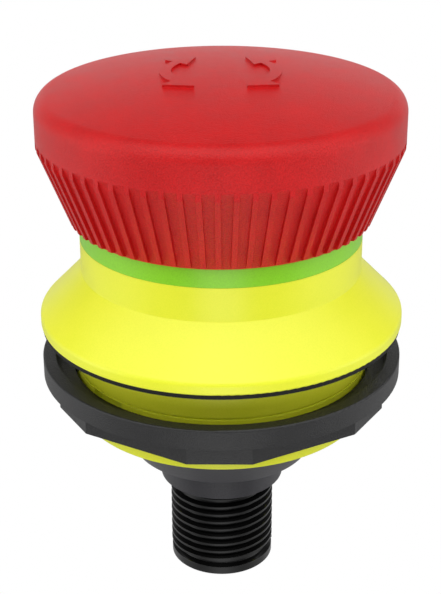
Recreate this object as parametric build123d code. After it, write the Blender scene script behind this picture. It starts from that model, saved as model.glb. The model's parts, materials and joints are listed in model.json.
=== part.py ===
from build123d import *
import math
import os

# Panel-mount emergency stop button with a twist-to-release mushroom head and an M12 plug connector.
# Millimetres, +Z towards the head. The origin is on the axis, on the face that seats on the panel:
# the underside of the flange gasket. The front of the button faces -Y.

# Mushroom cap.
CAP_R = 19.75
CAP_APEX = 28.3
CAP_EDGE_R = 1.8
BAND_TOP = 24.54
SKIRT_BOTTOM = 12.4
SKIRT_R = 15.85
SKIRT_BORE_R = 15.62
SKIRT_BORE_TOP = 15.2
CAP_WALL = 1.6
BOSS_R = 7.0
BOSS_BOTTOM = 18.3

# Ribs of the cap: 68 ridges between grooves that fade out at the band.
RIBS = 68
RIB_PHASE = -90.9
RIB_TOP = 20.95
RIB_FOOT = 12.72
RIB_FOOT_R = 16.5
GROOVE_TOP = 21.75
GROOVE_TOP_HALF = 0.63
GROOVE_BOTTOM_HALF = 0.46
LIP = 0.1

# Raised double-headed arrows on top of the cap; heads are (radius, degrees from the side).
MARK_HEIGHT = 0.25
MARK_SHAFT_IN = 5.2
MARK_SHAFT_OUT = 6.4
MARK_SHAFT_SPAN = 38
MARK_TIP = (6.25, 64.5)
MARK_BARB_IN = (4.15, 30.6)
MARK_BARB_OUT = (7.7, 39.0)

# Stem, its seal and its fasteners.
STEM_R = 4.85
STEM_TOP_R = 3.5
STEM_TOP = 25.0
STEM_FLANGE_R = 8.8
STEM_FLANGE = (17.0, 18.2)
CONE_TOP = 8.4
CONE_BOTTOM = 1.8
CONE_TAPER = 0.25
SPIGOT_R = 2.95
SPIGOT_TOP = 0.5
SPIGOT_END = -6.0
CLIP_GROOVE = (20.95, 21.85)
CLIP_GROOVE_R = 3.0
CLIP_R = 4.35
CIRCLIP_GROOVE = (-5.35, -4.75)
CIRCLIP_GROOVE_R = 2.5
CIRCLIP_R = 3.75
CLIP_GAP = 2.6
SEAL_SECTION_R = 0.6
SEAL_R = 5.62

# Housing: collar, flange and threaded neck.
COLLAR_R = 15.5
COLLAR_TOP = 10.2
COLLAR_FOOT = 6.46
FLANGE_R = 20.15
FLANGE_TOP = 1.65
FLANGE_EDGE_R = 0.6
FLANGE_BOTTOM = 0.46
GASKET_R = 20.0
GASKET_BEAD = (17.4, 18.6, 1.1)
NECK_R = 16.45
NECK_PLAIN_END = -4.12
NECK_RELIEF_R = 16.1
NECK_BAND = (-5.6, -4.42)
NECK_BAND_R = 16.36
NECK_ROOT_R = 15.65
NECK_PITCH = 1.5
NECK_END_COLLAR_R = 16.3
NECK_END_COLLAR_TOP = -9.2
NECK_END = -10.3
NECK_BORE_R = 14.0
WEB = (5.6, 7.4)
GUIDE_R = 7.0
GUIDE_TOP = 12.5
KEYWAY_HALF = 1.0
KEYWAY_FLOOR_R = 15.3
SLOT_HALF = 2.35
SLOT_ANGLE = -138.9
SLOT_TOP = -4.5

# Indicator ring.
RING_R = 15.48
RING_TOP = 14.3
RING_BORE_R = 13.2
RING_SPIGOT_R = 13.9
RING_SPIGOT_BOTTOM = 8.6

# Clamp ring and panel nut.
CLAMP_R = 20.15
CLAMP_TOP = -3.55
CLAMP_BOTTOM = -5.8
CLAMP_BORE_R = 16.75
CLAMP_RIM = 1.4
CLAMP_FLOOR = -4.75
TAB_CLEARANCE = 0.2
NUT_TOP = -5.92
NUT_BOTTOM = -8.3
NUT_BORE_R = 16.56
NUT_CORNER_R = 18.96
NUT_HALF_FACET = 10.4
NUT_PHASE = -90.7

# Latch.
LATCH_TOP = 5.6
LATCH_BOTTOM = 0.6
PAWL_Z = (2.05, 4.35)
PAWL_HALF_WIDTH = 2.4
PAWL_END = 10.4
PAWL_CLEARANCE = 0.15
POCKET_END = 13.4

# Contacts.
INNER_R = 13.95
BASE_BOTTOM = -1.2
BASE_SKIRT_R = 12.9
BASE_SKIRT_END = -9.35
STEM_PASSAGE_R = 6.9
CONTACT_Y = 6.5
BUTTON_X = 5.4
BUTTON_R = 1.0
STRIP = 0.5
LEG_X = 8.0
LEG_Y = (5.8, 6.6)
ARM_X = 4.3
ARM_Y = (5.6, 7.4)
BUTTON_HEIGHT = 0.4
HUB_R = 4.3
HUB = (-4.65, 0.3)
CAGE_X = 2.5
CAGE_Y = (4.0, 8.4)
CAGE_Z = (-6.4, -1.5)
WINDOW_Y = (5.3, 7.7)
WINDOW_Z = (-5.8, -2.6)
BRIDGE_Z = (-3.25, -2.75)
CONTACT_GAP = 0.15

# Circuit board and its screws.
BOARD_R = 11.0
BOARD = (-12.2, -11.2)
SCREW_X = 8.6
SCREW_R = 0.75
SCREW_HEAD_R = 1.4
SCREW_HEAD_H = 0.9
SCREW_END = -7.5
POST_R = 1.5
SLOT_DEPTH = 0.35

# Rear cover.
COVER_SHOULDER_R = 15.0
COVER_SHOULDER_END = -10.9
COVER_CONE_R = 13.6
COVER_STEP_R = 10.3
COVER_STEP_Z = -15.6
COVER_TAIL_R = 7.1
COVER_TAIL_END = -19.7
COVER_FLOOR = -14.5

# M12 connector.
SHELL_TOP = -13.4
SHELL_FLANGE_R = 6.4
SHELL_BODY_R = 5.4
SHELL_UNDERCUT_R = 4.95
SHELL_UNDERCUT_END = -20.7
SHELL_BORE_R = 4.3
SHELL_END = -30.8
SHELL_COLLAR_TOP = -29.8
M12_R = 6.0
M12_PITCH = 1.0
INSERT_FACE = -22.0
PIN_R = 0.5
PIN_CIRCLE_R = 3.5
PIN_END = -29.0
PIN_TIP_R = 0.2
PIN_TAPER = 0.45
KEY_HALF = 0.6
KEY_IN = 3.55

# Return spring.
SPRING_R = 7.85
SPRING_WIRE_R = 0.4
SPRING_TURNS = 5


def disc(radius, low, high, x=0, y=0):
    """A round bar along Z."""
    bar = Cylinder(radius, high - low, align=(Align.CENTER, Align.CENTER, Align.MIN))
    return Pos(x, y, low) * bar


def block(x, y, z):
    """A box given by its (low, high) span on each axis."""
    size = [span[1] - span[0] for span in (x, y, z)]
    middle = [(span[0] + span[1]) / 2 for span in (x, y, z)]
    return Pos(*middle) * Box(*size)


def turned(points):
    """A solid turned about Z from (radius, height) points."""
    outline = Polyline([(r, 0, z) for r, z in points], close=True)
    return revolve(make_face(outline), Axis.Z)


def o_ring(radius, section, height):
    """A round-section ring about Z."""
    return Pos(0, 0, height) * Torus(radius, section)


def coil(radius, wire, low, high, turns):
    """A round-wire compression spring along Z that fills low to high."""
    length = high - low - 2 * wire
    path = Helix(length / turns, length, radius, center=(0, 0, low + wire))
    section = Plane(origin=path @ 0, z_dir=path % 0) * Circle(wire)
    return sweep(section, path=path, is_frenet=True)


def thread_ridge(crest, root, pitch, low, high):
    """The ridge of a right-hand thread about Z, sunk a little into its root cylinder."""
    path = Helix(pitch, high - low, root, center=(0, 0, low))
    inner = root - 0.12
    foot = pitch * 0.42
    tip = pitch * 0.12
    corners = [(inner, 0, -foot), (crest, 0, -tip), (crest, 0, tip), (inner, 0, foot)]
    outline = Polyline(corners, close=True)
    section = Pos(0, 0, low) * make_face(outline)
    return sweep(section, path=path, is_frenet=True)


def round_edge(solid, radius, at_r, at_z):
    """Fillet the circular edge of a turned solid at the given radius and height."""
    rim = [
        edge
        for edge in solid.edges().filter_by(GeomType.CIRCLE)
        if abs(edge.radius - at_r) < 0.01 and abs(edge.center().Z - at_z) < 0.01
    ]
    return fillet(rim, radius)


def snap_ring(groove, groove_r, outer):
    """A flat ring with a gap at the front, loose in a groove given by its height span and radius."""
    low = groove[0] + 0.05
    high = groove[1] - 0.05
    ring = disc(outer, low, high) - disc(groove_r + 0.02, low - 1, high + 1)
    return ring - block((-CLIP_GAP / 2, CLIP_GAP / 2), (-outer - 1, 0), (low - 1, high + 1))


def cone_radius(height):
    """Radius of the stem's latch cone at a height, in the rest position."""
    return STEM_R + (CONE_TOP - height) * CONE_TAPER


def groove_radius(height):
    """Radius of the cone on which the floors of the grooves lie."""
    share = (height - SKIRT_BOTTOM) / (GROOVE_TOP - SKIRT_BOTTOM)
    return SKIRT_R + share * (CAP_R - SKIRT_R)


def dome(shift):
    """Centre height and radius of the dome, moved inwards by shift, tangent to the cap's edge."""
    across = CAP_R - CAP_EDGE_R
    rise = CAP_APEX - BAND_TOP
    radius = (across**2 + rise**2 - CAP_EDGE_R**2) / (2 * (rise - CAP_EDGE_R))
    return CAP_APEX - radius, radius - shift


def cap_outside():
    """The cap's outer form: domed top, rounded edge, plain band and conical skirt."""
    centre, radius = dome(0)
    lean = math.atan2(CAP_R - CAP_EDGE_R, BAND_TOP - centre)
    joint = (radius * math.sin(lean), 0, centre + radius * math.cos(lean))
    middle = (radius * math.sin(lean / 2), 0, centre + radius * math.cos(lean / 2))
    edge_lean = (lean + math.pi / 2) / 2
    edge_middle = (
        CAP_R - CAP_EDGE_R + CAP_EDGE_R * math.sin(edge_lean),
        0,
        BAND_TOP + CAP_EDGE_R * math.cos(edge_lean),
    )
    outline = [
        ThreePointArc((0, 0, CAP_APEX), middle, joint),
        ThreePointArc(joint, edge_middle, (CAP_R, 0, BAND_TOP)),
        Polyline(
            [
                (CAP_R, 0, BAND_TOP),
                (CAP_R, 0, RIB_TOP),
                (RIB_FOOT_R, 0, RIB_FOOT),
                (groove_radius(RIB_FOOT - LIP), 0, RIB_FOOT - LIP),
                (SKIRT_R, 0, SKIRT_BOTTOM),
                (0, 0, SKIRT_BOTTOM),
                (0, 0, CAP_APEX),
            ]
        ),
    ]
    return revolve(make_face(outline), Axis.Z)


def cap_hollow():
    """The space inside the cap, around its central boss."""
    centre, radius = dome(CAP_WALL)
    wide = CAP_R - CAP_WALL
    corner = 0.6

    def ceiling(r):
        return centre + math.sqrt(radius**2 - r**2)

    middle = (wide + BOSS_R) / 2
    shoulder = wide - corner
    ends = [(r, 0, ceiling(r)) for r in (shoulder, middle, BOSS_R)]
    outline = [
        Polyline(
            [
                (BOSS_R, 0, ceiling(BOSS_R)),
                (BOSS_R, 0, BOSS_BOTTOM),
                (0, 0, BOSS_BOTTOM),
                (0, 0, SKIRT_BOTTOM - 1),
                (SKIRT_BORE_R, 0, SKIRT_BOTTOM - 1),
                (SKIRT_BORE_R, 0, SKIRT_BORE_TOP),
                (wide, 0, RIB_TOP),
                (wide, 0, BAND_TOP - corner),
                ends[0],
            ]
        ),
        ThreePointArc(*ends),
    ]
    return revolve(make_face(outline), Axis.Z)


def rib_groove():
    """The cutter for one groove between two ribs, at angle 0; its floor runs out into the band."""
    low = RIB_FOOT - LIP
    high = GROOVE_TOP + 0.25
    beyond = CAP_R + 2
    side = Polyline(
        [(groove_radius(low), 0, low), (beyond, 0, low), (beyond, 0, high), (groove_radius(high), 0, high)],
        close=True,
    )
    front = Polyline(
        [
            (0, -GROOVE_BOTTOM_HALF, low),
            (0, GROOVE_BOTTOM_HALF, low),
            (0, GROOVE_TOP_HALF, high),
            (0, -GROOVE_TOP_HALF, high),
        ],
        close=True,
    )
    deep = extrude(make_face(side), amount=GROOVE_TOP_HALF, dir=(0, 1, 0), both=True)
    wide = extrude(make_face(front), amount=beyond + 1, dir=(1, 0, 0))
    return deep & wide


def polar(radius, degrees):
    """A point in plan from its radius and its angle from +X."""
    angle = math.radians(degrees)
    return radius * math.cos(angle), radius * math.sin(angle)


def twist_arrow():
    """Plan outline of the double-headed arrow on the +X side of the cap's top."""
    span = MARK_SHAFT_SPAN
    shaft = make_face(
        [
            CenterArc((0, 0), MARK_SHAFT_OUT, -span, 2 * span),
            Line(polar(MARK_SHAFT_OUT, span), polar(MARK_SHAFT_IN, span)),
            CenterArc((0, 0), MARK_SHAFT_IN, -span, 2 * span),
            Line(polar(MARK_SHAFT_IN, -span), polar(MARK_SHAFT_OUT, -span)),
        ]
    )
    corners = [polar(*corner) for corner in (MARK_TIP, MARK_BARB_IN, MARK_BARB_OUT)]
    head = make_face(Polyline(corners, close=True))
    return shaft + head + mirror(head, Plane.XZ)


def mushroom_cap():
    """Moulded mushroom head with a ribbed skirt, a central boss and two raised twist arrows."""
    cap = cap_outside() - cap_hollow()
    cap -= disc(STEM_TOP_R + 0.03, BOSS_BOTTOM - 1, STEM_TOP + 0.1)
    cap -= disc(CLIP_R + 0.05, *CLIP_GROOVE)
    start = RIB_PHASE + 180 / RIBS
    cap -= [place * rib_groove() for place in PolarLocations(0, RIBS, start)]
    centre, radius = dome(-MARK_HEIGHT)
    arrow = extrude(Pos(0, 0, CAP_APEX - 1.2) * twist_arrow(), amount=3)
    arrow &= Pos(0, 0, centre) * Sphere(radius)
    return cap + arrow + mirror(arrow, Plane.YZ)


def actuator_stem():
    """Stem turned in one piece: clip spigot, spring flange, guide, latch cone and carrier spigot."""
    low_clip, high_clip = CLIP_GROOVE
    low_circlip, high_circlip = CIRCLIP_GROOVE
    return turned(
        [
            (0, STEM_TOP),
            (STEM_TOP_R, STEM_TOP),
            (STEM_TOP_R, high_clip),
            (CLIP_GROOVE_R, high_clip),
            (CLIP_GROOVE_R, low_clip),
            (STEM_TOP_R, low_clip),
            (STEM_TOP_R, STEM_FLANGE[1]),
            (STEM_FLANGE_R, STEM_FLANGE[1]),
            (STEM_FLANGE_R, STEM_FLANGE[0]),
            (STEM_R, STEM_FLANGE[0]),
            (STEM_R, CONE_TOP),
            (cone_radius(CONE_BOTTOM), CONE_BOTTOM),
            (cone_radius(CONE_BOTTOM), SPIGOT_TOP),
            (SPIGOT_R, SPIGOT_TOP),
            (SPIGOT_R, high_circlip),
            (CIRCLIP_GROOVE_R, high_circlip),
            (CIRCLIP_GROOVE_R, low_circlip),
            (SPIGOT_R, low_circlip),
            (SPIGOT_R, SPIGOT_END),
            (0, SPIGOT_END),
        ]
    )


def housing():
    """Collar, sealing flange and threaded neck in one moulding, with the web that guides the stem."""
    bead_in, bead_out, bead_top = GASKET_BEAD
    guide_bore = STEM_R + 0.1
    seal_seat = SEAL_R + SEAL_SECTION_R + 0.02
    seat_floor = GUIDE_TOP - 1.3
    body = turned(
        [
            (COLLAR_R, COLLAR_TOP),
            (COLLAR_R, COLLAR_FOOT),
            (FLANGE_R, FLANGE_TOP),
            (FLANGE_R, FLANGE_BOTTOM),
            (bead_out, FLANGE_BOTTOM),
            (bead_out, bead_top),
            (bead_in, bead_top),
            (bead_in, FLANGE_BOTTOM),
            (NECK_R, FLANGE_BOTTOM),
            (NECK_R, NECK_PLAIN_END),
            (NECK_RELIEF_R, NECK_PLAIN_END - 0.05),
            (NECK_RELIEF_R, NECK_BAND[1] + 0.05),
            (NECK_BAND_R, NECK_BAND[1]),
            (NECK_BAND_R, NECK_BAND[0]),
            (NECK_ROOT_R, NECK_BAND[0] - 0.3),
            (NECK_ROOT_R, NECK_END_COLLAR_TOP + 0.2),
            (NECK_END_COLLAR_R, NECK_END_COLLAR_TOP),
            (NECK_END_COLLAR_R, NECK_END),
            (NECK_BORE_R, NECK_END),
            (NECK_BORE_R, WEB[0]),
            (cone_radius(WEB[0]) + 0.3, WEB[0]),
            (cone_radius(WEB[0]) + 0.3, CONE_TOP + 0.4),
            (guide_bore, CONE_TOP + 0.4),
            (guide_bore, seat_floor),
            (seal_seat, seat_floor),
            (seal_seat, GUIDE_TOP),
            (GUIDE_R, GUIDE_TOP),
            (GUIDE_R, WEB[1]),
            (RING_SPIGOT_R - 1.1, WEB[1]),
            (RING_SPIGOT_R - 1.1, RING_SPIGOT_BOTTOM),
            (RING_SPIGOT_R, RING_SPIGOT_BOTTOM),
            (RING_SPIGOT_R, COLLAR_TOP),
        ]
    )
    body = round_edge(body, FLANGE_EDGE_R, FLANGE_R, FLANGE_TOP)
    body = round_edge(body, 0.2, FLANGE_R, FLANGE_BOTTOM)
    thread_low = NECK_END_COLLAR_TOP + 0.5
    thread_high = NECK_BAND[0] - 0.5
    body += thread_ridge(NECK_R, NECK_ROOT_R, NECK_PITCH, thread_low, thread_high)
    cut = (KEYWAY_FLOOR_R, NECK_R + 1)
    keyway = block((-KEYWAY_HALF, KEYWAY_HALF), cut, (NECK_END - 1, FLANGE_BOTTOM - 0.1))
    slot = block(cut, (-SLOT_HALF, SLOT_HALF), (NECK_END_COLLAR_TOP, SLOT_TOP))
    return body - keyway - Rot(0, 0, SLOT_ANGLE) * slot


def indicator_ring():
    """Coloured band above the collar that shows while the head is up."""
    ring = turned(
        [
            (RING_BORE_R, RING_SPIGOT_BOTTOM),
            (RING_SPIGOT_R, RING_SPIGOT_BOTTOM),
            (RING_SPIGOT_R, COLLAR_TOP),
            (RING_R, COLLAR_TOP),
            (RING_R, RING_TOP),
            (RING_BORE_R, RING_TOP),
        ]
    )
    return round_edge(ring, 0.4, RING_R, RING_TOP)


def flange_gasket():
    """Flat rubber gasket under the flange, with a bead that holds it in its groove."""
    bead_in, bead_out, bead_top = GASKET_BEAD
    return turned(
        [
            (NECK_R + 0.05, 0),
            (GASKET_R, 0),
            (GASKET_R, FLANGE_BOTTOM),
            (bead_out, FLANGE_BOTTOM),
            (bead_out, bead_top),
            (bead_in, bead_top),
            (bead_in, FLANGE_BOTTOM),
            (NECK_R + 0.05, FLANGE_BOTTOM),
        ]
    )


def clamp_ring():
    """Dished ring that clamps the panel; its tab runs in the neck's keyway."""
    rim_in = CLAMP_R - CLAMP_RIM
    ring = turned(
        [
            (rim_in, CLAMP_TOP),
            (CLAMP_R, CLAMP_TOP),
            (CLAMP_R, CLAMP_BOTTOM),
            (CLAMP_BORE_R, CLAMP_BOTTOM),
            (CLAMP_BORE_R, CLAMP_FLOOR),
            (rim_in, CLAMP_FLOOR),
        ]
    )
    ring = round_edge(ring, 0.2, CLAMP_R, CLAMP_TOP)
    half = KEYWAY_HALF - TAB_CLEARANCE
    reach = (KEYWAY_FLOOR_R + TAB_CLEARANCE, CLAMP_BORE_R + 0.4)
    return ring + block((-half, half), reach, (CLAMP_BOTTOM, CLAMP_FLOOR))


def panel_nut():
    """Six-sided nut with its corners cut back to narrow flats."""
    corners = []
    for side in range(6):
        for half in (-NUT_HALF_FACET, NUT_HALF_FACET):
            corners.append(polar(NUT_CORNER_R, NUT_PHASE + 60 * side + half))
    outline = make_face(Polyline(corners, close=True))
    nut = extrude(Pos(0, 0, NUT_BOTTOM) * outline, amount=NUT_TOP - NUT_BOTTOM)
    return nut - disc(NUT_BORE_R, NUT_BOTTOM - 1, NUT_TOP + 1)


def latch_ring():
    """Disc under the web with a pocket on each side for a latch pawl and its spring."""
    ring = disc(INNER_R, LATCH_BOTTOM, LATCH_TOP)
    ring -= disc(STEM_PASSAGE_R, LATCH_BOTTOM - 1, LATCH_TOP + 1)
    half = PAWL_HALF_WIDTH + 0.1
    pocket = block((-POCKET_END, POCKET_END), (-half, half), (PAWL_Z[0] - 0.1, PAWL_Z[1] + 0.1))
    return ring - pocket


def latch_pawl(side):
    """Sliding pawl whose hollowed tip follows the stem's cone; side is -1 or 1."""
    reach = sorted((side * 4.5, side * PAWL_END))
    pawl = block(reach, (-PAWL_HALF_WIDTH, PAWL_HALF_WIDTH), PAWL_Z)
    low, high = PAWL_Z[0] - 1, PAWL_Z[1] + 1
    tip = turned(
        [
            (0, low),
            (cone_radius(low) + PAWL_CLEARANCE, low),
            (cone_radius(high) + PAWL_CLEARANCE, high),
            (0, high),
        ]
    )
    return pawl - tip


def latch_springs():
    """The two small springs that push the pawls inwards."""
    height = sum(PAWL_Z) / 2
    spring = coil(0.8, 0.15, PAWL_END + 0.1, POCKET_END, 6)
    return [Pos(0, 0, height) * Rot(0, 90 * side, 0) * spring for side in (-1, 1)]


def contact_base():
    """Insulating base: a plate for the fixed contacts, a skirt and two posts for the board."""
    base = disc(INNER_R, BASE_SKIRT_END, LATCH_BOTTOM)
    base -= disc(BASE_SKIRT_R, BASE_SKIRT_END - 1, BASE_BOTTOM)
    base -= disc(STEM_PASSAGE_R, BASE_BOTTOM - 1, LATCH_BOTTOM + 1)
    for x in (-SCREW_X, SCREW_X):
        base += disc(POST_R, BOARD[1], BASE_BOTTOM + 0.2, x=x)
        base -= disc(SCREW_R, BOARD[1] - 1, SCREW_END, x=x)
    return base


def contact_carrier():
    """Sliding carrier: a hub on the stem's spigot and a cage each side for a contact bridge."""
    carrier = disc(HUB_R, *HUB)
    for side in (-1, 1):
        cage = block((-CAGE_X, CAGE_X), sorted(side * y for y in CAGE_Y), CAGE_Z)
        window = block((-CAGE_X - 1, CAGE_X + 1), sorted(side * y for y in WINDOW_Y), WINDOW_Z)
        carrier += cage - window
    return carrier - disc(SPIGOT_R + 0.06, CAGE_Z[0] - 1, HUB[1] + 1)


def contact_bridge(side):
    """Bar with two contact buttons that joins a pair of fixed contacts; side is -1 or 1."""
    middle = side * CONTACT_Y
    bridge = block((-BUTTON_X - 1.3, BUTTON_X + 1.3), (middle - 1.1, middle + 1.1), BRIDGE_Z)
    for x in (-BUTTON_X, BUTTON_X):
        bridge += disc(BUTTON_R, BRIDGE_Z[1] - 0.1, BRIDGE_Z[1] + BUTTON_HEIGHT, x=x, y=middle)
    return bridge


def contact_springs():
    """The springs that hold the bridges up in their cages."""
    spring = coil(0.85, 0.15, WINDOW_Z[0], BRIDGE_Z[0], 5)
    return [Pos(0, side * CONTACT_Y, 0) * spring for side in (-1, 1)]


def fixed_contacts():
    """Four bent strips, each with a button over a bridge and a leg down to the board."""
    button_face = BRIDGE_Z[1] + BUTTON_HEIGHT + CONTACT_GAP
    strip_low = BASE_BOTTOM - STRIP
    arm = block((ARM_X, LEG_X + STRIP), ARM_Y, (strip_low, BASE_BOTTOM))
    leg = block((LEG_X, LEG_X + STRIP), LEG_Y, (BOARD[1], strip_low))
    contact = arm + leg + disc(BUTTON_R, button_face, strip_low, x=BUTTON_X, y=CONTACT_Y)
    pair = [contact, mirror(contact, Plane.YZ)]
    return pair + [mirror(one, Plane.XZ) for one in pair]


def pin_places():
    """Centres of the connector's five pins."""
    return [(0, 0)] + [polar(PIN_CIRCLE_R, 45 + 90 * quarter) for quarter in range(4)]


def circuit_board():
    """Round board that joins the contacts to the connector's pins."""
    board = disc(BOARD_R, *BOARD)
    for x in (-SCREW_X, SCREW_X):
        board -= disc(SCREW_R + 0.1, BOARD[0] - 1, BOARD[1] + 1, x=x)
    return board


def board_screws():
    """Two small pan-head screws that hold the board to the posts."""
    head_end = BOARD[0] - SCREW_HEAD_H
    screws = []
    for x in (-SCREW_X, SCREW_X):
        head = disc(SCREW_HEAD_R, head_end, BOARD[0], x=x)
        head -= block((x - 1, x + 1), (-0.2, 0.2), (head_end - 1, head_end + SLOT_DEPTH))
        screws.append(head + disc(SCREW_R - 0.01, BOARD[0] - 0.1, SCREW_END - 0.2, x=x))
    return screws


def rear_cover():
    """Cover that plugs into the neck, narrows in a cone and ends in the connector's step."""
    spigot_r = INNER_R
    groove = (NECK_END + 0.15, NECK_END + 0.75)
    return turned(
        [
            (spigot_r, BASE_SKIRT_END),
            (spigot_r, groove[1]),
            (spigot_r - 0.6, groove[1]),
            (spigot_r - 0.6, groove[0]),
            (spigot_r, groove[0]),
            (spigot_r, NECK_END),
            (COVER_SHOULDER_R, NECK_END),
            (COVER_SHOULDER_R, COVER_SHOULDER_END),
            (COVER_CONE_R, COVER_SHOULDER_END),
            (COVER_STEP_R, COVER_STEP_Z),
            (COVER_TAIL_R, COVER_STEP_Z),
            (COVER_TAIL_R, COVER_TAIL_END),
            (SHELL_BODY_R + 0.02, COVER_TAIL_END),
            (SHELL_BODY_R + 0.02, COVER_FLOOR),
            (COVER_STEP_R - 0.7, COVER_FLOOR),
            (COVER_CONE_R - 1.1, COVER_SHOULDER_END),
            (COVER_CONE_R - 1.1, BASE_SKIRT_END),
        ]
    )


def cover_seal():
    """O-ring in the groove of the cover's spigot."""
    return o_ring(INNER_R - 0.28, 0.3, NECK_END + 0.45)


def connector_shell():
    """Threaded plug shell, flanged inside the cover, with an open mouth at its end."""
    shell = turned(
        [
            (SHELL_BORE_R, SHELL_TOP),
            (SHELL_FLANGE_R, SHELL_TOP),
            (SHELL_FLANGE_R, COVER_FLOOR),
            (SHELL_BODY_R, COVER_FLOOR),
            (SHELL_BODY_R, COVER_TAIL_END),
            (SHELL_UNDERCUT_R, COVER_TAIL_END),
            (SHELL_UNDERCUT_R, SHELL_UNDERCUT_END),
            (SHELL_BODY_R, SHELL_UNDERCUT_END - 0.2),
            (SHELL_BODY_R, SHELL_COLLAR_TOP + 0.3),
            (M12_R - 0.05, SHELL_COLLAR_TOP),
            (M12_R - 0.05, SHELL_END + 0.1),
            (M12_R - 0.15, SHELL_END),
            (SHELL_BORE_R, SHELL_END),
        ]
    )
    thread_low = SHELL_COLLAR_TOP + 0.4
    thread_high = SHELL_UNDERCUT_END - 0.5
    return shell + thread_ridge(M12_R, SHELL_BODY_R, M12_PITCH, thread_low, thread_high)


def connector_seal():
    """O-ring that seals a mating connector, in the undercut under the cover."""
    return o_ring(SHELL_UNDERCUT_R + 0.5, 0.49, (COVER_TAIL_END + SHELL_UNDERCUT_END) / 2)


def connector_insert():
    """Insulating pin carrier with the coding key along the wall of the mouth."""
    insert = disc(SHELL_BORE_R - 0.02, INSERT_FACE, SHELL_TOP)
    insert += block((-KEY_HALF, KEY_HALF), (KEY_IN, SHELL_BORE_R - 0.1), (PIN_END + 0.5, INSERT_FACE + 0.2))
    for x, y in pin_places():
        insert -= disc(PIN_R + 0.01, INSERT_FACE - 1, SHELL_TOP + 1, x=x, y=y)
    return insert


def connector_pins():
    """Five pins with tapered ends, from the board to the mouth of the connector."""
    pin = turned(
        [
            (0, PIN_END),
            (PIN_TIP_R, PIN_END),
            (PIN_R, PIN_END + PIN_TAPER),
            (PIN_R, BOARD[0]),
            (0, BOARD[0]),
        ]
    )
    return [Pos(x, y, 0) * pin for x, y in pin_places()]


def stem_seal():
    """O-ring that seals the stem at the top of its guide."""
    return o_ring(SEAL_R, SEAL_SECTION_R, GUIDE_TOP - 0.65)


def return_spring():
    """Compression spring between the housing web and the stem's flange."""
    return coil(SPRING_R, SPRING_WIRE_R, WEB[1], STEM_FLANGE[0], SPRING_TURNS)


PARTS = {
    "mushroom_cap": mushroom_cap(),
    "cap_clip": snap_ring(CLIP_GROOVE, CLIP_GROOVE_R, CLIP_R),
    "actuator_stem": actuator_stem(),
    "stem_circlip": snap_ring(CIRCLIP_GROOVE, CIRCLIP_GROOVE_R, CIRCLIP_R),
    "stem_seal": stem_seal(),
    "return_spring": return_spring(),
    "indicator_ring": indicator_ring(),
    "housing": housing(),
    "flange_gasket": flange_gasket(),
    "clamp_ring": clamp_ring(),
    "panel_nut": panel_nut(),
    "latch_ring": latch_ring(),
    "latch_pawl_left": latch_pawl(-1),
    "latch_pawl_right": latch_pawl(1),
    "latch_springs": latch_springs(),
    "contact_base": contact_base(),
    "contact_carrier": contact_carrier(),
    "contact_bridge_front": contact_bridge(-1),
    "contact_bridge_rear": contact_bridge(1),
    "contact_springs": contact_springs(),
    "fixed_contacts": fixed_contacts(),
    "circuit_board": circuit_board(),
    "board_screws": board_screws(),
    "rear_cover": rear_cover(),
    "cover_seal": cover_seal(),
    "connector_shell": connector_shell(),
    "connector_seal": connector_seal(),
    "connector_insert": connector_insert(),
    "connector_pins": connector_pins(),
}

os.makedirs("parts", exist_ok=True)
for name, shape in PARTS.items():
    solids = shape if isinstance(shape, list) else [shape]
    whole = solids[0] if len(solids) == 1 else Compound(children=solids)
    export_step(whole, f"parts/{name}.step")
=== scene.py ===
import json
import math

import bpy
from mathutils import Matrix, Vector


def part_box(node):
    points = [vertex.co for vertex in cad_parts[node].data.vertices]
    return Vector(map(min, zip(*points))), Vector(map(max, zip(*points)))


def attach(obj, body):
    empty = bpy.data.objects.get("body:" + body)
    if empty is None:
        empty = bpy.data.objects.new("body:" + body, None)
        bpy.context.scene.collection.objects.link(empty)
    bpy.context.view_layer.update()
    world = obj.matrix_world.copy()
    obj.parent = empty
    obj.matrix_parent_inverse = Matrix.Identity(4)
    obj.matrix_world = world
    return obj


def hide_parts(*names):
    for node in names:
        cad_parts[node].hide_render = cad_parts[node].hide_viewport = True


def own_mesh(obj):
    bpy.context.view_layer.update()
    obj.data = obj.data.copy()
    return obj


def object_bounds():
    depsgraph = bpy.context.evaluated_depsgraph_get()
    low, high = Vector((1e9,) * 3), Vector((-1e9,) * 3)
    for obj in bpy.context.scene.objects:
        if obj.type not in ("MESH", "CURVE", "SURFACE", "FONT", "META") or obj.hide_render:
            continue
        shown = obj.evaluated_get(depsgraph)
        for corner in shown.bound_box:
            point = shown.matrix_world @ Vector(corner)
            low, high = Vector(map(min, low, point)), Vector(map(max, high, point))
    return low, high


# Emergency stop button on a plain pale floor. Metres, in the row frame: +Z towards the head, origin on the
# axis at the panel seat, front towards -Y.

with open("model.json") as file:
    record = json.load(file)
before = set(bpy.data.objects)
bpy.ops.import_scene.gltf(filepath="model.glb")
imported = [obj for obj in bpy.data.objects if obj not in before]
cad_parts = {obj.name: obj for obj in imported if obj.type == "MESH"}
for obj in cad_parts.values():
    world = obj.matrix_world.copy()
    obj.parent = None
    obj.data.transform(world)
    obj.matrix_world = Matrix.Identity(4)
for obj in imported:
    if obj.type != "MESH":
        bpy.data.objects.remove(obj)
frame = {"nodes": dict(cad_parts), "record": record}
cad_low, cad_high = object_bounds()
nodes = frame["nodes"]
MM = 0.001


# ---------------------------------------------------------------- materials
def linear(srgb):
    """One sRGB channel, 0 to 255, as a linear value."""
    share = srgb / 255
    return share / 12.92 if share <= 0.04045 else ((share + 0.055) / 1.055) ** 2.4


def colour(red, green, blue):
    """An sRGB colour, 0 to 255 a channel, as a linear RGBA tuple."""
    return (linear(red), linear(green), linear(blue), 1.0)


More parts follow.
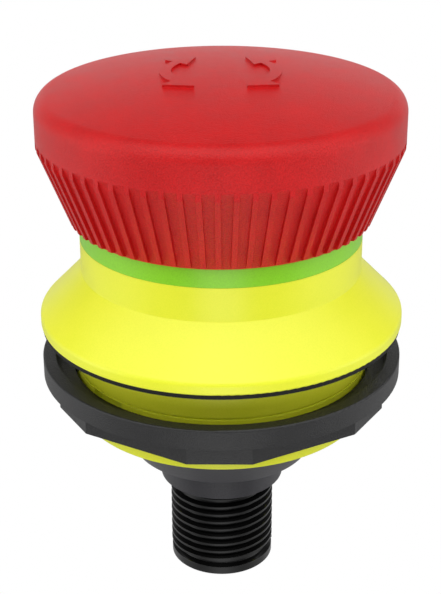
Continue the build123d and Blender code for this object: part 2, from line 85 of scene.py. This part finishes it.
GRAIN_DETAIL = 3.0
GRAIN_ROUGHNESS = 0.6
GRAIN_BUMP = 0.6
MOTTLE_MM = 4.0
MOTTLE_DETAIL = 2.0
MOTTLE_SHARE = 0.35
TINT_START = 0.35
TINT_END = 0.95
ROUGH_BELOW = 0.05
ROUGH_ABOVE = 0.07
EDGE_SAMPLES = 6


def noise(tree, place, size_mm, detail):
    """A noise texture in the object's own space with features of about size_mm."""
    node = tree.nodes.new("ShaderNodeTexNoise")
    node.inputs["Scale"].default_value = 1 / (size_mm * MM)
    node.inputs["Detail"].default_value = detail
    tree.links.new(place, node.inputs["Vector"])
    return node


def plastic(name, dark, light, rough, grain_mm, grain_depth_mm, edge_mm=0.1, specular=0.5):
    """Moulded plastic: fine grain in bump and colour, a slow mottle, and edges with a small radius."""
    material = bpy.data.materials.new(name)
    material.use_nodes = True
    tree = material.node_tree
    shader = tree.nodes["Principled BSDF"]
    shader.inputs["Specular IOR Level"].default_value = specular
    place = tree.nodes.new("ShaderNodeTexCoord").outputs["Object"]
    grain = noise(tree, place, grain_mm, GRAIN_DETAIL)
    grain.inputs["Roughness"].default_value = GRAIN_ROUGHNESS
    mottle = noise(tree, place, MOTTLE_MM, MOTTLE_DETAIL)
    both = tree.nodes.new("ShaderNodeMath")
    both.operation = "MULTIPLY_ADD"
    both.inputs[1].default_value = MOTTLE_SHARE
    tint = tree.nodes.new("ShaderNodeValToRGB")
    tint.color_ramp.elements[0].position = TINT_START
    tint.color_ramp.elements[0].color = dark
    tint.color_ramp.elements[1].position = TINT_END
    tint.color_ramp.elements[1].color = light
    gloss = tree.nodes.new("ShaderNodeMapRange")
    gloss.inputs["To Min"].default_value = rough - ROUGH_BELOW
    gloss.inputs["To Max"].default_value = rough + ROUGH_ABOVE
    edge = tree.nodes.new("ShaderNodeBevel")
    edge.samples = EDGE_SAMPLES
    edge.inputs["Radius"].default_value = edge_mm * MM
    bump = tree.nodes.new("ShaderNodeBump")
    bump.inputs["Strength"].default_value = GRAIN_BUMP
    bump.inputs["Distance"].default_value = grain_depth_mm * MM
    link = tree.links.new
    link(mottle.outputs["Fac"], both.inputs[0])
    link(grain.outputs["Fac"], both.inputs[2])
    link(both.outputs[0], tint.inputs["Fac"])
    link(tint.outputs["Color"], shader.inputs["Base Color"])
    link(mottle.outputs["Fac"], gloss.inputs["Value"])
    link(gloss.outputs["Result"], shader.inputs["Roughness"])
    link(grain.outputs["Fac"], bump.inputs["Height"])
    link(edge.outputs["Normal"], bump.inputs["Normal"])
    link(bump.outputs["Normal"], shader.inputs["Normal"])
    return material


def metal(name, tone, rough, scale_mm=0.4):
    """Drawn or pressed metal with fine uneven polish."""
    material = plastic(name, tone, tone, rough, scale_mm, 0.01)
    material.node_tree.nodes["Principled BSDF"].inputs["Metallic"].default_value = 1.0
    return material


red = plastic(
    "cap_red",
    colour(180, 8, 12),
    colour(228, 28, 30),
    0.34,
    0.15,
    0.12,
    edge_mm=0.05,
    specular=0.3,
)
green = plastic("signal_green", colour(132, 212, 24), colour(152, 230, 36), 0.33, 0.16, 0.02)
yellow = plastic("signal_yellow", colour(240, 248, 40), colour(252, 255, 60), 0.34, 0.16, 0.015)
rubber = plastic(
    "seal_rubber",
    colour(8, 8, 8),
    colour(20, 20, 20),
    0.7,
    0.2,
    0.02,
    edge_mm=0.04,
    specular=0.35,
)
black = plastic("nut_black", colour(16, 16, 17), colour(40, 40, 41), 0.36, 0.15, 0.12, edge_mm=0.07)
grey = plastic("cover_grey", colour(38, 37, 41), colour(60, 59, 64), 0.34, 0.16, 0.06)
gloss = plastic(
    "connector_black",
    colour(3, 3, 3),
    colour(9, 9, 9),
    0.12,
    0.2,
    0.003,
    edge_mm=0.06,
    specular=0.55,
)
acetal = plastic("stem_plastic", colour(196, 194, 186), colour(214, 212, 204), 0.4, 0.2, 0.01)
latch_grey = plastic("latch_plastic", colour(140, 140, 143), colour(160, 160, 163), 0.45, 0.2, 0.01)
insulator = plastic("insulator", colour(50, 50, 54), colour(70, 70, 74), 0.5, 0.2, 0.01)
steel = metal("spring_steel", colour(190, 190, 192), 0.28)
brass = metal("contact_brass", colour(214, 178, 104), 0.25)
board = plastic("board_green", colour(16, 92, 44), colour(26, 118, 60), 0.3, 0.3, 0.008)

by_slot = {
    "cap_red": red,
    "signal_green": green,
    "signal_yellow": yellow,
    "seal_rubber": rubber,
    "nut_black": black,
    "cover_grey": grey,
    "connector_black": gloss,
    "stem_plastic": acetal,
    "latch_plastic": latch_grey,
    "insulator": insulator,
    "spring_steel": steel,
    "contact_brass": brass,
    "board_green": board,
}


def finish_cad_node(name, slot):
    """Gives a CAD node the material of its slot."""
    node = nodes[name]
    node.data.materials.clear()
    node.data.materials.append(by_slot[slot])


for row in frame["record"]["subparts"]:
    finish_cad_node(row["node"], row["material_slot"])


# ---------------------------------------------------------------- return spring
SPRING_WIRE = 0.4 * MM
SPRING_TURNS = 6.5
SPRING_CLOSED_TURNS = 1.0
STEPS_PER_TURN = 48
WIRE_SIDES = 12


def spring_rise(turn):
    """Share of the coil's height reached at a turn: closed ends with open turns between them."""
    pitch_turns = SPRING_TURNS - 2 * SPRING_CLOSED_TURNS
    open_turn = min(max(turn - SPRING_CLOSED_TURNS, 0.0), pitch_turns)
    closed = turn - open_turn
    closed_share = 2 * SPRING_WIRE / (spring_high.z - spring_low.z - 2 * SPRING_WIRE)
    open_share = 1 - 2 * SPRING_CLOSED_TURNS * closed_share
    return closed * closed_share + open_turn / pitch_turns * open_share


def coil_points(rings):
    """Points of the wire's cross-sections, one ring after another along the coil."""
    radius = spring_high.x - SPRING_WIRE
    height = spring_high.z - spring_low.z - 2 * SPRING_WIRE
    points = []
    for ring in range(rings):
        turn = ring / STEPS_PER_TURN
        angle = 2 * math.pi * turn
        centre_z = spring_low.z + SPRING_WIRE + height * spring_rise(turn)
        for side in range(WIRE_SIDES):
            around = 2 * math.pi * side / WIRE_SIDES
            reach = radius + SPRING_WIRE * math.cos(around)
            height_here = centre_z + SPRING_WIRE * math.sin(around)
            points.append((reach * math.cos(angle), reach * math.sin(angle), height_here))
    return points


def coil_faces(rings):
    """Faces between the cross-sections, and a cap on each end of the wire."""
    faces = [tuple(reversed(range(WIRE_SIDES)))]
    for ring in range(rings - 1):
        first, after = ring * WIRE_SIDES, (ring + 1) * WIRE_SIDES
        for side in range(WIRE_SIDES):
            beside = (side + 1) % WIRE_SIDES
            faces.append((first + side, first + beside, after + beside, after + side))
    faces.append(tuple(range((rings - 1) * WIRE_SIDES, rings * WIRE_SIDES)))
    return faces


def coil_mesh(name):
    """Round wire wound with closed ends, between the housing's web and the stem's flange."""
    rings = int(SPRING_TURNS * STEPS_PER_TURN) + 1
    mesh = bpy.data.meshes.new(name)
    mesh.from_pydata(coil_points(rings), [], coil_faces(rings))
    mesh.validate()
    for face in mesh.polygons:
        face.use_smooth = len(face.vertices) == 4
    return mesh


spring_low, spring_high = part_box("return_spring")
spring = bpy.data.objects.new("return_spring_coil", coil_mesh("return_spring_coil"))
bpy.context.scene.collection.objects.link(spring)
spring.data.materials.append(steel)
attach(spring, "base")
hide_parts("return_spring")
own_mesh(spring)


# ---------------------------------------------------------------- floor, light and camera
FLOOR_Z = cad_low.z - 0.2 * MM
FLOOR_HALF = 2.0
LIGHT_GAIN = 1.38
SPREAD = 12.0
# Soft studio lights far away: name, azimuth from the front and elevation in degrees, and strength. Each light
# stands on both sides of the button. At azimuth 0 the two fall together and their strengths add up.
STUDIO_LIGHTS = (
    ("front top", 0, 66, 0.91),
    ("quarter top", 40, 45, 0.46),
    ("side high", 60, 66, 0.22),
    ("side top", 80, 45, 0.91),
    ("side level", 80, 0, 1.6),
    ("back quarter low", 120, -22, 0.41),
    ("back level", 160, 4, 0.55),
    ("side bounce", 80, -50, 0.15),
    ("back bounce", 160, -50, 0.25),
    ("front level", 0, 0, 0.1),
    ("front bounce", 0, -50, 0.42),
    ("quarter bounce", 40, -50, 0.28),
    ("under", 0, -85, 0.13),
)
# Strips of the table in front that shine back up: name, near and far edge in metres, and strength. They widen
# from a point on the front side of the axis, by an angle in degrees on each side.
TABLE_STRIPS = (
    ("strip_near", 0.055, 0.09, 1.34),
    ("strip_middle", 0.09, 0.13, 1.59),
    ("strip_far", 0.13, 0.18, 1.66),
    ("strip_last", 0.18, 0.28, 1.09),
)
STRIP_HALF_ANGLE = 18
STRIP_POINT = 0.012
STRIP_LIFT = 0.3 * MM


def emitter(name, strength):
    """Plain white glow for the stage."""
    material = bpy.data.materials.new(name)
    material.use_nodes = True
    tree = material.node_tree
    tree.nodes.clear()
    glow = tree.nodes.new("ShaderNodeEmission")
    glow.inputs["Strength"].default_value = strength
    surface = tree.nodes.new("ShaderNodeOutputMaterial")
    tree.links.new(glow.outputs["Emission"], surface.inputs["Surface"])
    return material


def stage_plane(name, corners, material):
    """A flat four-cornered part of the stage."""
    mesh = bpy.data.meshes.new(name)
    mesh.from_pydata(corners, [], [(0, 1, 2, 3)])
    mesh.materials.append(material)
    plane = bpy.data.objects.new(name, mesh)
    bpy.context.scene.collection.objects.link(plane)
    return plane


def clear_from_below(material):
    """Lets a view from under the floor through."""
    tree = material.node_tree
    mix = tree.nodes.new("ShaderNodeMixShader")
    clear = tree.nodes.new("ShaderNodeBsdfTransparent")
    surface = tree.nodes["Material Output"].inputs["Surface"]
    glow = surface.links[0].from_socket
    tree.links.new(tree.nodes.new("ShaderNodeNewGeometry").outputs["Backfacing"], mix.inputs["Fac"])
    tree.links.new(glow, mix.inputs[1])
    tree.links.new(clear.outputs["BSDF"], mix.inputs[2])
    tree.links.new(mix.outputs["Shader"], surface)


def pale_floor():
    """Wide pale floor that the connector's end stands on. Its light on the button comes from the strips."""
    sides = ((-1, -1), (1, -1), (1, 1), (-1, 1))
    corners = [(x * FLOOR_HALF, y * FLOOR_HALF, FLOOR_Z) for x, y in sides]
    white = emitter("floor_white", 1.0)
    clear_from_below(white)
    floor = stage_plane("floor", corners, white)
    floor.visible_diffuse = False
    floor.visible_glossy = False
    floor.visible_transmission = False
    floor.visible_shadow = False


def table_strip(name, near, far, strength):
    """One strip of the table, widening away from the button, seen by the button but not by the camera."""
    slope = math.tan(math.radians(STRIP_HALF_ANGLE))
    near_half = slope * (near - STRIP_POINT)
    far_half = slope * (far - STRIP_POINT)
    height = FLOOR_Z + STRIP_LIFT
    corners = [
        (-near_half, -near, height),
        (near_half, -near, height),
        (far_half, -far, height),
        (-far_half, -far, height),
    ]
    strip = stage_plane(name, corners, emitter(name, strength))
    strip.visible_camera = False


def direction(azimuth, elevation):
    """Unit vector towards a light; azimuth 0 is the front (-Y) and grows towards +X."""
    across, up = math.radians(azimuth), math.radians(elevation)
    return (math.sin(across) * math.cos(up), -math.cos(across) * math.cos(up), math.sin(up))


def math_node(tree, operation, first, second=None):
    """A Math node on a socket and a fixed number or another socket; returns its output."""
    node = tree.nodes.new("ShaderNodeMath")
    node.operation = operation
    tree.links.new(first, node.inputs[0])
    if isinstance(second, float):
        node.inputs[1].default_value = second
    elif second is not None:
        tree.links.new(second, node.inputs[1])
    return node.outputs[0]


def soft_lobe(tree, ray, toward, strength):
    """Light that is strongest towards one direction and fades smoothly around it."""
    dot = tree.nodes.new("ShaderNodeVectorMath")
    dot.operation = "DOT_PRODUCT"
    dot.inputs[1].default_value = toward
    tree.links.new(ray, dot.inputs[0])
    away = math_node(tree, "SUBTRACT", dot.outputs["Value"], 1.0)
    fade = math_node(tree, "EXPONENT", math_node(tree, "MULTIPLY", away, SPREAD))
    return math_node(tree, "MULTIPLY", fade, strength)


def studio_world():
    """White backdrop for the camera; for the button, the studio lights."""
    world = bpy.data.worlds.new("studio")
    world.use_nodes = True
    tree = world.node_tree
    background = tree.nodes["Background"]
    background.inputs["Color"].default_value = (1, 1, 1, 1)
    ray = tree.nodes.new("ShaderNodeTexCoord").outputs["Generated"]
    total = None
    for _, azimuth, elevation, strength in STUDIO_LIGHTS:
        for side in (azimuth, -azimuth):
            lobe = soft_lobe(tree, ray, direction(side, elevation), strength * LIGHT_GAIN)
            total = lobe if total is None else math_node(tree, "ADD", total, lobe)
    seen = tree.nodes.new("ShaderNodeMix")
    seen.inputs["B"].default_value = 1.0
    tree.links.new(tree.nodes.new("ShaderNodeLightPath").outputs["Is Camera Ray"], seen.inputs["Factor"])
    tree.links.new(total, seen.inputs["A"])
    tree.links.new(seen.outputs["Result"], background.inputs["Strength"])
    bpy.context.scene.world = world


CAMERA_PLACE = (0.0, -0.1487, 0.0690)
CAMERA_PITCH = 24.15
CAMERA_ROLL = -0.17
CAMERA_LENS = 88.1
CAMERA_SENSOR = 36.0
CAMERA_NEAR = 0.005
CAMERA_SHIFT_X = -0.00126


def photo_camera():
    """The camera at the photograph's place and angle."""
    data = bpy.data.cameras.new("camera")
    data.lens = CAMERA_LENS
    data.sensor_width = CAMERA_SENSOR
    data.clip_start = CAMERA_NEAR
    data.shift_x = CAMERA_SHIFT_X
    camera = bpy.data.objects.new("camera", data)
    bpy.context.scene.collection.objects.link(camera)
    camera.location = CAMERA_PLACE
    camera.rotation_mode = "ZYX"
    camera.rotation_euler = (math.radians(90 - CAMERA_PITCH), 0, math.radians(CAMERA_ROLL))
    bpy.context.scene.camera = camera


pale_floor()
for strip_name, near_edge, far_edge, glow_strength in TABLE_STRIPS:
    table_strip(strip_name, near_edge, far_edge, glow_strength * LIGHT_GAIN)
studio_world()
photo_camera()
bpy.context.scene.view_settings.view_transform = "Standard"
